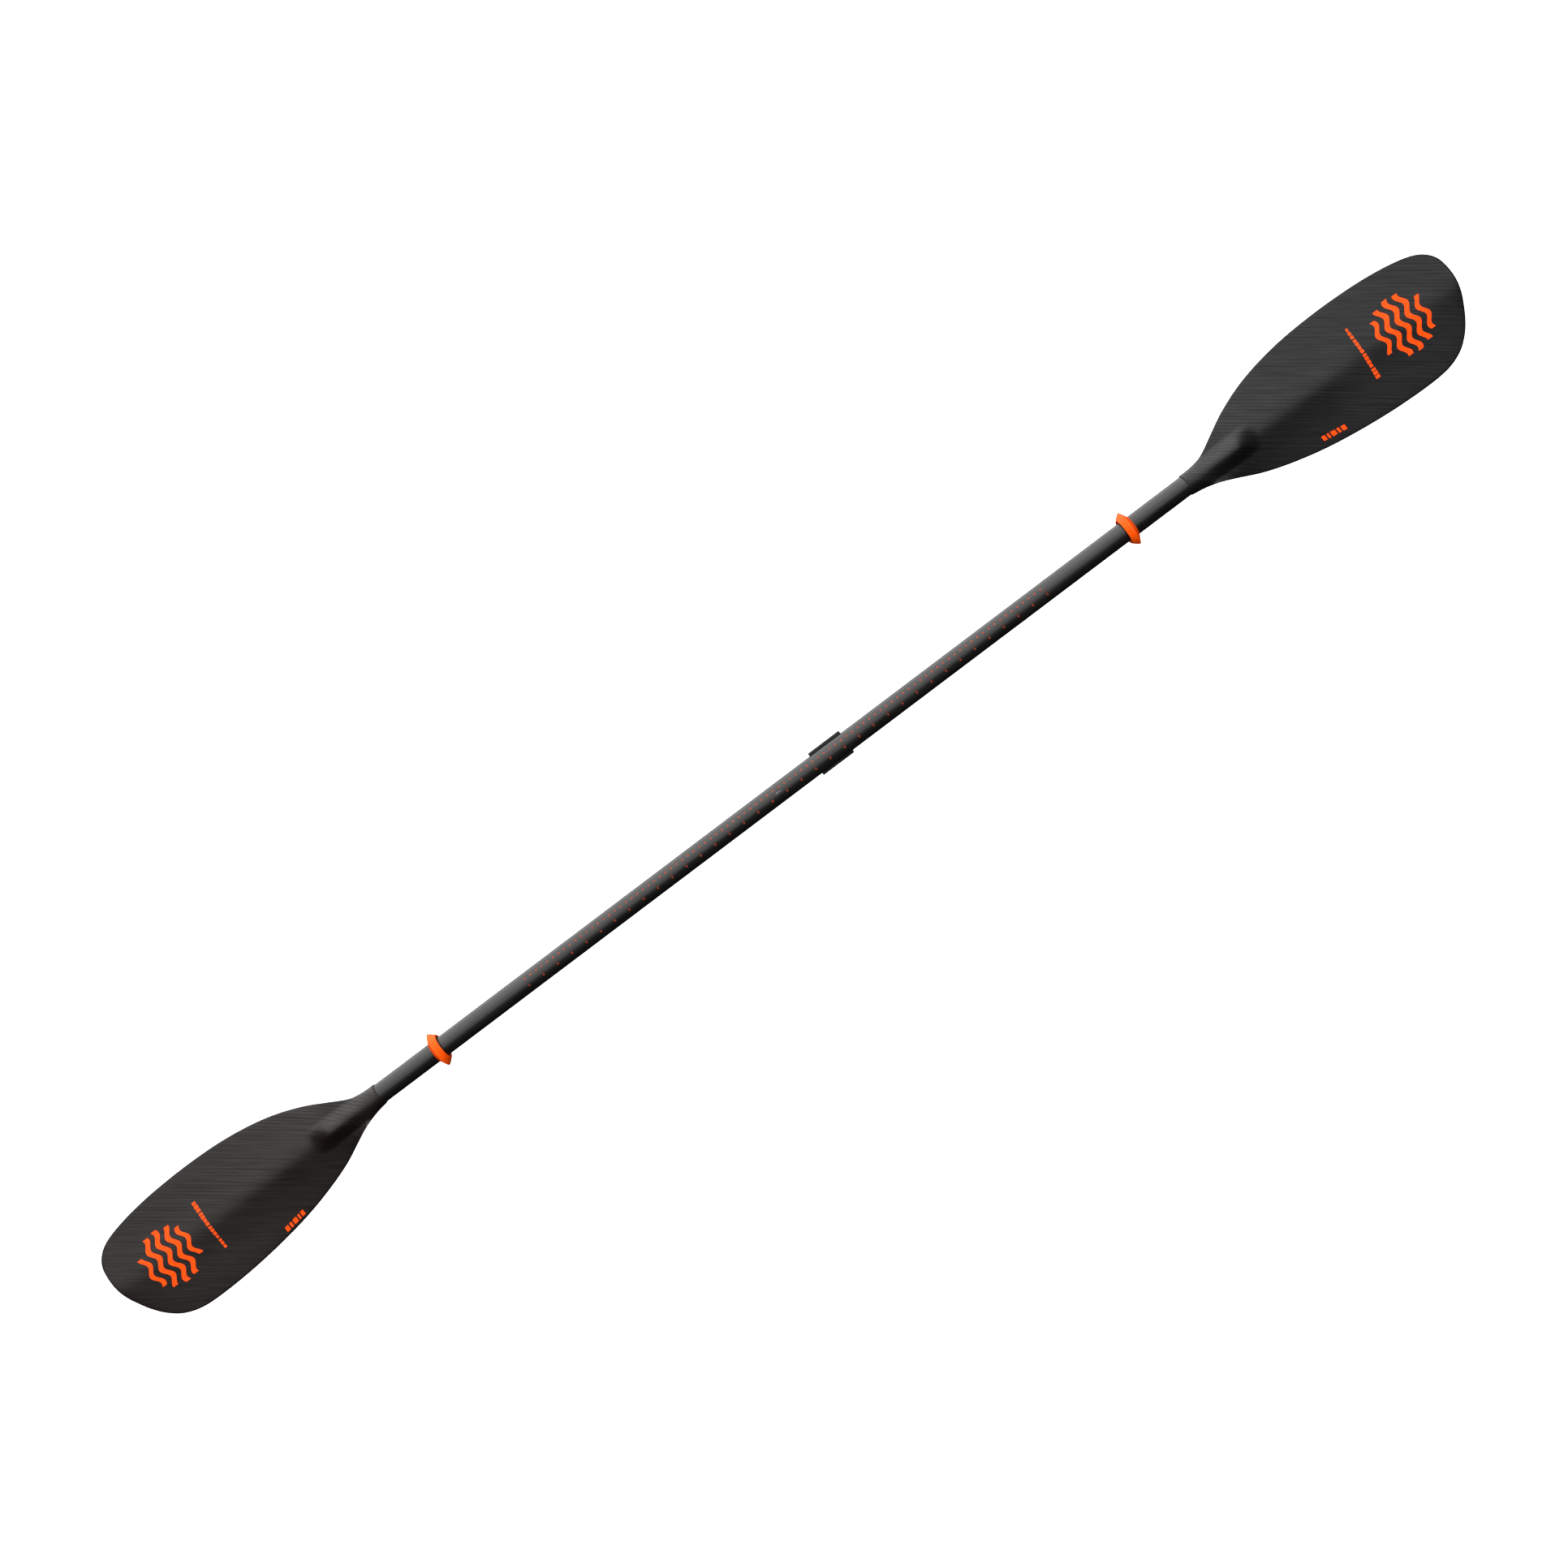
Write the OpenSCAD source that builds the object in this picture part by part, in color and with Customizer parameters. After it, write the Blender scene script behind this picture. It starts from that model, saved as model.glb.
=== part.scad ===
// Two-piece double-bladed kayak paddle with a lever-locked telescoping joint.
// Units are millimetres. Origin: shaft axis at the joint between the two halves.
// +X runs to the clamp half, +Z out of the power faces, +Y to the upper blade edges.

/* [Shaft] */
// Overall length with the joint closed
overall_len = 2358; // [2200:1:2600]
// Shaft outer diameter
shaft_d = 30; // [29:0.1:31]
// Shaft wall thickness
shaft_wall = 1.3; // [1.1:0.1:1.4]
// Depth of the shaft end inside the blade neck
neck_depth = 60; // [45:1:60]

/* [Blade] */
// Blade length from neck seam to tip
blade_len = 463; // [430:0.5:510]
// Scale factor on the blade width
blade_width_k = 1; // [0.9:0.01:1.1]
// Neck outer diameter at the seam
neck_d = 32.8; // [32.6:0.1:33.6]
// Rise of the tip towards the power face
spoon = 24; // [10:1:35]
// Fall of the face from the centre ridge to the edges
dihedral = 9.5; // [2:0.5:10]
// Half-width over which the centre ridge is rounded
ridge_r = 16; // [6:1:25]
// Thickness at the rim
rim_t = 2.6; // [2:0.1:3.5]
// Thickness of the blade plate at its root
root_t = 9; // [7:0.5:11]
// Thickness of the blade plate at its tip
tip_t = 5; // [4.5:0.5:7]
// Height of the spine on the power face
spine_face = 12.5; // [12:0.5:14]
// Height of the spine on the back face
spine_back = 12.5; // [12:0.5:14]
// Skin thickness over the foam core
skin_t = 1.2; // [0.9:0.1:1.5]

/* [Drip rings] */
// Distance of the right ring's rim from the joint
right_ring_x = 615.5; // [500:0.5:650]
// Distance of the left ring's rim from the joint
left_ring_x = 610; // [500:0.5:650]
// Rim diameter
ring_d = 54.4; // [48:0.2:60]
// Flank length towards the blade
ring_out = 6.2; // [5:0.1:12]
// Flank length towards the joint
ring_in = 9.3; // [7:0.1:12]
// Outer diameter of the cup at the joint side
ring_cup_d = 39; // [37:0.5:42]

/* [Joint] */
// Insertion of the ferrule tube in the right half
ferrule_in = 330; // [320:1:400]
// Bonded length of the ferrule tube in the left half
ferrule_bond = 90; // [60:1:120]
// Ferrule tube outer diameter
ferrule_d = 25.6; // [25:0.1:25.7]
// Ferrule tube wall thickness
ferrule_wall = 1.2; // [1:0.1:1.6]
// Length of the guide ring
guide_len = 40; // [25:1:50]
// Running clearance on radius
run_fit = 0.05; // [0.02:0.01:0.1]

/* [Clamp] */
// Start of the clamp housing from the joint
clamp_x = 63.5; // [60:0.1:75]
// Length of the clamp housing
clamp_len = 54.7; // [53:0.1:60]
// Width of the clamp housing
clamp_w = 37; // [36.5:0.1:39]
// Height of the housing lips above the shaft axis
lip_z = 2.5; // [0:0.1:4]
// Depth of the housing back below the shaft axis
back_z = 26; // [26:0.5:29]
// Lever width
lever_w = 14; // [12:0.5:14.4]
// Throw of the cam
cam_e = 0.35; // [0.2:0.05:0.4]

/* [Hidden] */
$fn = 96;
gap = 0.15;
shaft_r = shaft_d / 2;
bore_r = shaft_r - shaft_wall;
seam_x = overall_len / 2 - blade_len;
shaft_end = seam_x + neck_depth;
seal_w = 1.3;
ferrule_r = ferrule_d / 2;
clamp_end = clamp_x + clamp_len;
channel_w = lever_w + 1.6;
floor_z = shaft_r + 2.2;
pivot_x = clamp_x + 9.3;
pivot_z = -(shaft_r + 6.6);
pivot_r = 1.5;
cam_r = 3.6;
cam_phase = 30;
cam_top = pivot_z + cam_r + cam_e * cos(cam_phase);
shoe_l = 8.4;
shoe_w = 9.4;
window_gap = 0.3;
finger_x = clamp_end - 14;

// Blade outline knots: distance from tip, half-width above and below the shaft axis
knots = [
    [0, 22, -14], [0.6, 28.5, -7.5], [2.2, 38.2, 3.4], [5.5, 46.7, 16], [11, 54.4, 29.5],
    [20, 62.2, 47.4], [33, 68.6, 65.2], [52, 74, 81], [80, 79.2, 90.8], [121, 83.5, 93],
    [176, 85.4, 90.8], [232, 83.6, 85], [280, 78, 77.2], [325, 68, 66.4], [365, 53.5, 53.6],
    [400, 36.5, 38.3], [430, 21.6, 25.4], [450, 17.1, 19.6], [469.5, 16.4, 16.4]
];
knot_len = 469.5;
stations = 30;
columns = 18;
core_from = 95;
core_to = 28;
core_min = 0.3;

function smooth(t) = let (u = min(1, max(0, t))) u * u * (3 - 2 * u);
function mix(a, b, t) = a + (b - a) * t;

// Catmull-Rom value of column c at knot position p
function spline(p, c) =
    let (
        n = len(knots) - 1,
        k = min(n - 1, floor(p)),
        t = p - k,
        a = k > 0 ? knots[k - 1][c] : c == 0 ? knots[1][0] : 2 * knots[0][c] - knots[1][c],
        b = knots[k][c],
        d = knots[k + 1][c],
        e = knots[min(n, k + 2)][c]
    )
    b + 0.5 * t * (d - a + t * (2 * a - 5 * b + 4 * d - e + t * (3 * (b - d) + e - a)));

// Station i runs from the neck seam (0) to the tip; column j from the lower to the upper edge
function knot_at(i) = (1 - i / stations) * (len(knots) - 1);
function from_tip(i) = i == stations ? 0 : spline(knot_at(i), 0) * blade_len / knot_len;
function wide(i) = mix(1, blade_width_k, smooth((blade_len - from_tip(i)) / 120));
function upper(i) = spline(knot_at(i), 1) * wide(i) * (i == 0 ? neck_d / 32.8 : 1);
function lower(i) = spline(knot_at(i), 2) * wide(i) * (i == 0 ? neck_d / 32.8 : 1);
function angle(j) = let (t = 2 * j / columns - 1) 90 * t * (0.45 + 0.55 * t * t);
function edge_y(i, j) = (upper(i) - lower(i)) / 2 + (upper(i) + lower(i)) / 2 * sin(angle(j));

// Middle surface: spoon along the blade, fall from the centre ridge, lower edge raised beside the neck
function fall(s) = dihedral * smooth((s - 30) / 70) * (1 - 0.45 * smooth((s - 130) / 260));
function mid_z(s, y, v) =
    spoon * pow(s / blade_len, 2.2)
    - fall(s) * (1 - exp((ridge_r - sqrt(y * y + ridge_r * ridge_r)) / 30))
    + (v < 0 ? 12 : 2) * v * v * smooth((s - 10) / 30) * (1 - smooth((s - 45) / 45));

// Half thickness of the blade, round at the neck and a thin plate further out
function plate_h(s, a) =
    let (tip = sqrt(1 - pow(1 - min(1, (blade_len - s) / 3), 2)), c = cos(a))
    tip * (rim_t / 2 * pow(c, 0.4) + (mix(root_t, tip_t, s / blade_len) - rim_t) / 2 * c * c);
function half_h(s, a) = mix(neck_d / 2 * cos(a), plate_h(s, a), smooth(s / 45));

// Rounded spine that carries the shaft's form into the blade and ends in a nose
function spine(s, y, h, from, fade) =
    smooth(s / 45) * h * (1 - smooth((s - from) / fade)) * pow(max(0, 1 - pow(y / 21, 2)), 1.5);

// Blade point; layer 2 is the power face, 1 and -1 the core faces, 0 the middle, -2 the back
function blade_point(i, j, layer) =
    let (
        s = blade_len - from_tip(i),
        a = angle(j),
        y = edge_y(i, j),
        m = mid_z(s, y, sin(a)),
        up = half_h(s, a) + spine(s, y, spine_face, 84, 36),
        down = half_h(s, a) + spine(s, y, spine_back, 55, 155),
        cored = s > core_from && s < blade_len - core_to && j > 1 && j < columns - 1,
        z = layer == 2 ? m + up
            : layer == 1 ? m + (cored ? max(core_min, up - skin_t) : 0)
            : layer == 0 ? m
            : layer == -1 ? m - (cored ? max(core_min, down - skin_t) : 0)
            : m - down
    )
    [seam_x + s, y, z];

// Two triangles of a grid cell, split so that a corner cell never folds flat
function cell(a, b, c, d, cut) = cut ? [[a, b, c], [a, c, d]] : [[a, b, d], [b, c, d]];

// Half of the blade between the power face (or back) and the middle; edges and tip close to a line
module blade_skin(outer, inner) {
    w = columns + 1;
    n = (stations + 1) * w;
    points = [
        for (layer = [outer, inner]) for (i = [0 : stations]) for (j = [0 : columns])
            blade_point(i, j, (j == 0 || j == columns || i == stations) ? 0 : layer)
    ];
    function o(i, j) = i * w + j;
    function q(i, j) = (j == 0 || j == columns || i == stations) ? o(i, j) : n + o(i, j);
    function cut(i, j) = (i < stations / 2) == (j < columns / 2);
    skin = [
        for (i = [0 : stations - 1]) for (j = [0 : columns - 1])
            each cell(o(i, j), o(i, j + 1), o(i + 1, j + 1), o(i + 1, j), cut(i, j))
    ];
    lining = [
        for (i = [0 : stations - 1]) for (j = [0 : columns - 1])
            each cell(q(i + 1, j), q(i + 1, j + 1), q(i, j + 1), q(i, j), !cut(i, j))
    ];
    neck = [
        for (j = [0 : columns - 1])
            each j == 0 ? [[o(0, 0), q(0, 1), o(0, 1)]]
                : j == columns - 1 ? [[o(0, j), q(0, j), o(0, j + 1)]]
                : [[o(0, j), q(0, j), q(0, j + 1)], [o(0, j), q(0, j + 1), o(0, j + 1)]]
    ];
    up = outer > inner;
    all = concat(skin, lining, neck);
    difference() {
        polyhedron(points, up ? all : [for (f = all) [f[2], f[1], f[0]]], convexity = 6);
        translate([seam_x - 1, 0, 0])
            rotate([0, 90, 0])
                cylinder(h = neck_depth + 1, r = shaft_r);
    }
}

// Foam filling between the skins, closed to a line all round
module blade_foam() {
    w = columns - 1;
    i0 = min([for (i = [0 : stations]) if (blade_len - from_tip(i) > core_from) i]) - 1;
    i1 = max([for (i = [0 : stations]) if (from_tip(i) > core_to) i]) + 1;
    rows = i1 - i0;
    n = (rows + 1) * w;
    points = [
        for (layer = [1, -1]) for (i = [i0 : i1]) for (j = [1 : columns - 1])
            blade_point(i, j, layer)
    ];
    function t(i, j) = i * w + j;
    function b(i, j) = (j == 0 || j == w - 1 || i == 0 || i == rows) ? t(i, j) : n + t(i, j);
    function cut(i, j) = (i + i0 < stations / 2) == (j + 1 < columns / 2);
    polyhedron(points, concat(
        [for (i = [0 : rows - 1]) for (j = [0 : w - 2])
            each cell(t(i, j), t(i, j + 1), t(i + 1, j + 1), t(i + 1, j), cut(i, j))],
        [for (i = [0 : rows - 1]) for (j = [0 : w - 2])
            each cell(b(i + 1, j), b(i + 1, j + 1), b(i, j + 1), b(i, j), !cut(i, j))]
    ), convexity = 6);
}

module tube_x(x0, x1, r_out, r_in) {
    translate([x0, 0, 0])
        rotate([0, 90, 0])
            difference() {
                cylinder(h = x1 - x0, r = r_out);
                translate([0, 0, -1])
                    cylinder(h = x1 - x0 + 2, r = r_in);
            }
}

module rod_x(x0, x1, r) {
    translate([x0, 0, 0])
        rotate([0, 90, 0])
            cylinder(h = x1 - x0, r = r);
}

module right_shaft() {
    color([0.2, 0.2, 0.2])
        difference() {
            tube_x(gap, shaft_end, shaft_r, bore_r);
            shoe_window();
            rivet_places() cylinder(h = 8, r = 1.6);
        }
}

module left_shaft() {
    color([0.2, 0.2, 0.2])
        tube_x(-shaft_end, -gap, shaft_r, bore_r);
}

module right_blade_face() {
    color([0.18, 0.18, 0.18])
        blade_skin(2, 1);
}

module right_blade_back() {
    color([0.16, 0.16, 0.16])
        blade_skin(-2, -1);
}

module right_blade_core() {
    color([0.85, 0.82, 0.7])
        blade_foam();
}

module left_blade_face() {
    color([0.18, 0.18, 0.18])
        mirror([1, 0, 0])
            blade_skin(2, 1);
}

module left_blade_back() {
    color([0.16, 0.16, 0.16])
        mirror([1, 0, 0])
            blade_skin(-2, -1);
}

module left_blade_core() {
    color([0.85, 0.82, 0.7])
        mirror([1, 0, 0])
            blade_foam();
}

module right_neck_seal() {
    color([0.05, 0.05, 0.05])
        tube_x(seam_x - seal_w, seam_x, neck_d / 2 - 0.2, shaft_r);
}

module left_neck_seal() {
    color([0.05, 0.05, 0.05])
        tube_x(-seam_x, seal_w - seam_x, neck_d / 2 - 0.2, shaft_r);
}

module right_shaft_plug() {
    color([0.3, 0.3, 0.32])
        rod_x(shaft_end - 22, shaft_end, bore_r);
}

module left_shaft_plug() {
    color([0.3, 0.3, 0.32])
        rod_x(-shaft_end, 22 - shaft_end, bore_r);
}

// Ring section as [radius, distance]: convex flanks to a rim, open cup on the joint side
module drip_ring(x) {
    steps = 8;
    low = shaft_r + 1;
    cup = ring_cup_d / 2;
    rim = ring_d / 2;
    rise = 1.15;
    function flank(k, from) = from + (rim - from) * (1 - pow(1 - k / steps, rise));
    section = concat(
        [[shaft_r + run_fit, ring_out]],
        [for (k = [0 : steps]) [flank(k, low), ring_out * (1 - k / steps)]],
        [for (k = [steps - 1 : -1 : 0]) [flank(k, cup), -ring_in * (1 - k / steps)]],
        [
            [cup - 1.3, -ring_in],
            [cup - 1.9, 2.5 - ring_in],
            [cup - 2.6, 5 - ring_in],
            [shaft_r + 0.8, 6 - ring_in],
            [shaft_r + run_fit, 6 - ring_in]
        ]
    );
    translate([x, 0, 0])
        rotate([0, 90, 0])
            rotate_extrude()
                polygon(section);
}

module right_drip_ring() {
    color([1, 0.38, 0.05])
        drip_ring(right_ring_x);
}

module left_drip_ring() {
    color([1, 0.38, 0.05])
        mirror([1, 0, 0])
            drip_ring(left_ring_x);
}

module ferrule_tube() {
    color([0.12, 0.12, 0.13])
        tube_x(-ferrule_bond, ferrule_in, ferrule_r, ferrule_r - ferrule_wall);
}

module ferrule_bond_sleeve() {
    color([0.3, 0.3, 0.3])
        tube_x(-ferrule_bond, -gap, bore_r, ferrule_r);
}

// Stopper with a sliding land and an O-ring groove
module ferrule_end_plug() {
    land = bore_r - 2 * run_fit;
    color([0.1, 0.1, 0.1])
        difference() {
            union() {
                rod_x(ferrule_in - 15, ferrule_in, ferrule_r - ferrule_wall);
                rod_x(ferrule_in, ferrule_in + 8, land);
            }
            tube_x(ferrule_in + 3.2, ferrule_in + 4.8, land + 1, bore_r - 1.5);
        }
}

module ferrule_o_ring() {
    cord_r = 0.7;
    color([0.03, 0.03, 0.03])
        translate([ferrule_in + 4, 0, 0])
            rotate([0, 90, 0])
                rotate_extrude()
                    translate([bore_r - run_fit - cord_r, 0])
                        circle(r = cord_r, $fn = 32);
}

module guide_ring() {
    color([0.75, 0.75, 0.72])
        tube_x(0.4, guide_len, bore_r - run_fit, ferrule_r + run_fit);
}

module rivet_places() {
    for (x = [clamp_x + 22, clamp_x + 34])
        translate([x, 0, -shaft_r - 5])
            children();
}

module shoe_window() {
    translate([pivot_x - shoe_l / 2 - window_gap, -shoe_w / 2 - window_gap, -floor_z - 1])
        cube([shoe_l + 2 * window_gap, shoe_w + 2 * window_gap, 8]);
}

function arc(cx, cy, r, a0, a1, n) =
    [for (k = [0 : n]) let (a = mix(a0, a1, k / n)) [cx + r * cos(a), cy + r * sin(a)]];

// Cradle under the shaft: open on the power side, with a channel for the lever along its back
module clamp_housing() {
    half = clamp_w / 2;
    round_r = 7;
    end_r = 6;
    color([0.08, 0.08, 0.08])
        difference() {
            intersection() {
                translate([clamp_x, 0, 0])
                    rotate([90, 0, 90])
                        linear_extrude(clamp_len)
                            polygon(concat(
                                [[half, lip_z - 0.8], [half - 0.8, lip_z]],
                                [[0.8 - half, lip_z], [-half, lip_z - 0.8]],
                                arc(round_r - half, round_r - back_z, round_r, 180, 270, 8),
                                arc(half - round_r, round_r - back_z, round_r, 270, 360, 8)
                            ));
                rotate([90, 0, 0])
                    linear_extrude(clamp_w + 2, center = true)
                        polygon(concat(
                            [[clamp_end, lip_z + 1], [clamp_x, lip_z + 1]],
                            arc(clamp_x + end_r, end_r - back_z, end_r, 180, 270, 8),
                            arc(clamp_end - end_r, end_r - back_z, end_r, 270, 360, 8)
                        ));
            }
            rod_x(clamp_x - 1, clamp_end + 1, shaft_r);
            translate([clamp_x - 1, -channel_w / 2, -back_z - 1])
                cube([clamp_len + 2, channel_w, back_z + 1 - floor_z]);
            translate([finger_x, -channel_w / 2, -back_z - 1])
                cube([clamp_len, channel_w, back_z - 7]);
            shoe_window();
            translate([pivot_x, 0, pivot_z])
                rotate([90, 0, 0])
                    cylinder(h = clamp_w + 2, r = pivot_r, center = true);
            rivet_places() cylinder(h = 8, r = 1.6);
            translate([clamp_end - 20.5, -half + 1.9, -back_z - 1])
                cube([12, 1, back_z + lip_z + 2]);
        }
}

// Lever with an eccentric round cam about the pin, closed along the back of the housing
module clamp_lever() {
    tip_x = clamp_end - 0.3;
    color([0.1, 0.1, 0.1])
        difference() {
            union() {
                translate([pivot_x + cam_e * sin(cam_phase), 0, pivot_z + cam_e * cos(cam_phase)])
                    rotate([90, 0, 0])
                        cylinder(h = lever_w, r = cam_r, center = true);
                rotate([90, 0, 0])
                    linear_extrude(lever_w, center = true)
                        polygon(concat(
                            [
                                [pivot_x, pivot_z + 3],
                                [finger_x - 6, pivot_z + 3],
                                [finger_x + 1, pivot_z + 0.4],
                                [tip_x - 3, pivot_z + 0.4]
                            ],
                            arc(tip_x - 2, pivot_z - 1.6, 2, 60, -60, 5),
                            [
                                [tip_x - 8, pivot_z - 5.2],
                                [finger_x - 6, pivot_z - 4.2],
                                [pivot_x, pivot_z - 3.4]
                            ]
                        ));
            }
            translate([pivot_x, 0, pivot_z])
                rotate([90, 0, 0])
                    cylinder(h = lever_w + 2, r = pivot_r + run_fit, center = true);
            for (k = [0 : 3])
                translate([tip_x - 12 + 2.4 * k, 0, pivot_z - 5.6 + 0.25 * k])
                    rotate([90, 0, 0])
                        cylinder(h = lever_w + 2, r = 0.8, center = true, $fn = 24);
        }
}

module lever_pin() {
    color([0.7, 0.7, 0.72])
        translate([pivot_x, 0, pivot_z])
            rotate([90, 0, 0])
                cylinder(h = clamp_w - 1, r = pivot_r, center = true);
}

// Pad between the cam and the ferrule tube
module pressure_shoe() {
    top = cam_top + 0.1;
    color([0.6, 0.6, 0.58])
        difference() {
            translate([pivot_x - shoe_l / 2, -shoe_w / 2, top])
                cube([shoe_l, shoe_w, -top - 8]);
            rod_x(pivot_x - shoe_l, pivot_x + shoe_l, ferrule_r + run_fit);
        }
}

module housing_rivets() {
    color([0.75, 0.75, 0.77])
        rivet_places() {
            translate([0, 0, 5 - 2.2])
                cylinder(h = 2.2 + shaft_wall + 0.2, r = 1.6);
            translate([0, 0, 5 - 2.2 - 0.8])
                cylinder(h = 0.8, r1 = 2.2, r2 = 2.8);
        }
}

right_shaft();
left_shaft();
right_blade_face();
right_blade_back();
right_blade_core();
left_blade_face();
left_blade_back();
left_blade_core();
right_neck_seal();
left_neck_seal();
right_shaft_plug();
left_shaft_plug();
right_drip_ring();
left_drip_ring();
ferrule_tube();
ferrule_bond_sleeve();
ferrule_end_plug();
ferrule_o_ring();
guide_ring();
clamp_housing();
clamp_lever();
lever_pin();
pressure_shoe();
housing_rivets();
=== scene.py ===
"""Looks of the kayak paddle: blades, drip rings, clamp, shaft finish, printed marks, light and camera."""

import math

import bmesh
import bpy
import numpy as np
from mathutils import Matrix, Vector


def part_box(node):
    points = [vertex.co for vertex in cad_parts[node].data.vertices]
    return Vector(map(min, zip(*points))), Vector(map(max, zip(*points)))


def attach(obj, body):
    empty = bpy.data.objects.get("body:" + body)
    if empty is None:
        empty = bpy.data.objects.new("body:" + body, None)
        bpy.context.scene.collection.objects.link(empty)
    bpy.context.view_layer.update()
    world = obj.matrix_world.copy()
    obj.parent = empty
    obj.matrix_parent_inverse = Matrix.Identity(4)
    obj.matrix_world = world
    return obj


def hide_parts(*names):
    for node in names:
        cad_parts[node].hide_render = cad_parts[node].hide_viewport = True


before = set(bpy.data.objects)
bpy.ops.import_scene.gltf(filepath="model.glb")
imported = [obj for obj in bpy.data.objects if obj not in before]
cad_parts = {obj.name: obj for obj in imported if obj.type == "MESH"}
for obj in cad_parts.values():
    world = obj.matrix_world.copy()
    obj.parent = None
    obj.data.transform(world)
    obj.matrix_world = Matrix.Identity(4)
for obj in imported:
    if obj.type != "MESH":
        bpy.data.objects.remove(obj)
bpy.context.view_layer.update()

MM = 0.001
SIDES = {"right": 1.0, "left": -1.0}

# ---------------------------------------------------------------- sizes from the frame

face_low, face_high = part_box("right_blade_face")
SEAM_X = face_low.x
TIP_X = face_high.x
BLADE_LEN = TIP_X - SEAM_X
SHAFT_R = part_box("left_shaft")[1].z
SHAFT_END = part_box("right_shaft")[1].x
RING_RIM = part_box("right_drip_ring")[1].z
FERRULE_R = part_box("ferrule_tube")[1].z

# ---------------------------------------------------------------- blade form, in millimetres

# As in the CAD, but for the half-width 85.33 and the last number of FACE_SPINE, which suit the finer surface.

# distance from tip, half-width above and below the shaft axis
KNOTS = (
    (0, 22, -14), (0.6, 28.5, -7.5), (2.2, 38.2, 3.4), (5.5, 46.7, 16), (11, 54.4, 29.5),
    (20, 62.2, 47.4), (33, 68.6, 65.2), (52, 74, 81), (80, 79.2, 90.8), (121, 83.5, 93),
    (176, 85.33, 90.8), (232, 83.6, 85), (280, 78, 77.2), (325, 68, 66.4), (365, 53.5, 53.6),
    (400, 36.5, 38.3), (430, 21.6, 25.4), (450, 17.1, 19.6), (469.5, 16.4, 16.4),
)
KNOT_LEN = 469.5
LENGTH = BLADE_LEN / MM
NECK_R = 16.4
SPOON = 24.0
DIHEDRAL = 9.5
RIDGE_R = 16.0
RIM_T = 2.6
ROOT_T = 9.0
TIP_T = 5.0
# height of a spine, where it starts to fade and how far it fades
FACE_SPINE = (12.5, 84.0, 39.0)
BACK_SPINE = (12.5, 55.0, 155.0)
BORE_GAP = 0.02
BORE_SHORT = 0.5


def spline(p, column):
    """Catmull-Rom value of one outline column at knot position p."""
    last = len(KNOTS) - 1
    k = min(last - 1, int(p))
    t = p - k
    first, second = KNOTS[0][column], KNOTS[1][column]
    a = KNOTS[k - 1][column] if k > 0 else second if column == 0 else 2 * first - second
    b = KNOTS[k][column]
    d = KNOTS[k + 1][column]
    e = KNOTS[min(last, k + 2)][column]
    return b + 0.5 * t * (d - a + t * (2 * a - 5 * b + 4 * d - e + t * (3 * (b - d) + e - a)))


def smooth(t):
    """Smooth step from 0 to 1."""
    u = min(1.0, max(0.0, t))
    return u * u * (3 - 2 * u)


def outline(p):
    """Distance from the tip, and half-widths above and below the axis, at knot position p."""
    return spline(p, 0) * LENGTH / KNOT_LEN, spline(p, 1), spline(p, 2)


def knot_position(from_tip):
    """Knot position at a distance from the tip, by bisection."""
    low, high = 0.0, float(len(KNOTS) - 1)
    for _ in range(40):
        mid = (low + high) / 2
        if outline(mid)[0] < from_tip:
            low = mid
        else:
            high = mid
    return (low + high) / 2


def mid_height(s, y, v):
    """Height of the blade's middle: spoon, fall to both sides of the ridge, and lift of the edges at the neck."""
    away = math.hypot(y, RIDGE_R) - RIDGE_R
    slope = DIHEDRAL * smooth((s - 30) / 70) * (1 - 0.45 * smooth((s - 130) / 260))
    fall = slope * (1 - math.exp(-away / 30))
    lift = (12 if v < 0 else 2) * v * v * smooth((s - 10) / 30) * (1 - smooth((s - 45) / 45))
    return SPOON * (max(0.0, s) / LENGTH) ** 2.2 - fall + lift


def half_thickness(s, c):
    """Half thickness of the blade plate at station s, where c falls from 1 at the middle to 0 at the rim."""
    c = max(0.0, c)
    tip = math.sqrt(max(0.0, 1 - (1 - min(1.0, (LENGTH - s) / 3)) ** 2))
    root = ROOT_T + (TIP_T - ROOT_T) * s / LENGTH
    plate = tip * (RIM_T / 2 * c**0.4 + (root - RIM_T) / 2 * c * c)
    w = smooth(s / 45)
    return (1 - w) * NECK_R * c + w * plate


def spine_height(s, y, height, start, fade):
    """Rounded spine that carries the shaft's form into the blade and ends in a nose."""
    bell = max(0.0, 1 - (y / 21) ** 2) ** 1.5
    return smooth(s / 45) * height * (1 - smooth((s - start) / fade)) * bell


def face_height(from_tip, y):
    """Height of the power face above the shaft axis, in millimetres."""
    p = knot_position(from_tip)
    _, up, low = outline(p)
    v = min(1.0, max(-1.0, (y - (up - low) / 2) / ((up + low) / 2)))
    s = LENGTH - from_tip
    c = math.sqrt(1 - v * v)
    return mid_height(s, y, v) + half_thickness(s, c) + spine_height(s, y, *FACE_SPINE)


def blade_rows():
    """Knot positions from the neck to the tip, closer together at the tip."""
    last = len(KNOTS) - 1
    per_knot, tip_knots, tip_rows = 9, 3, 40
    rows = [last - k / per_knot for k in range(per_knot * (last - tip_knots))]
    return rows + [tip_knots * (1 - (k / tip_rows)) ** 1.3 for k in range(tip_rows)] + [0.0]


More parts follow.
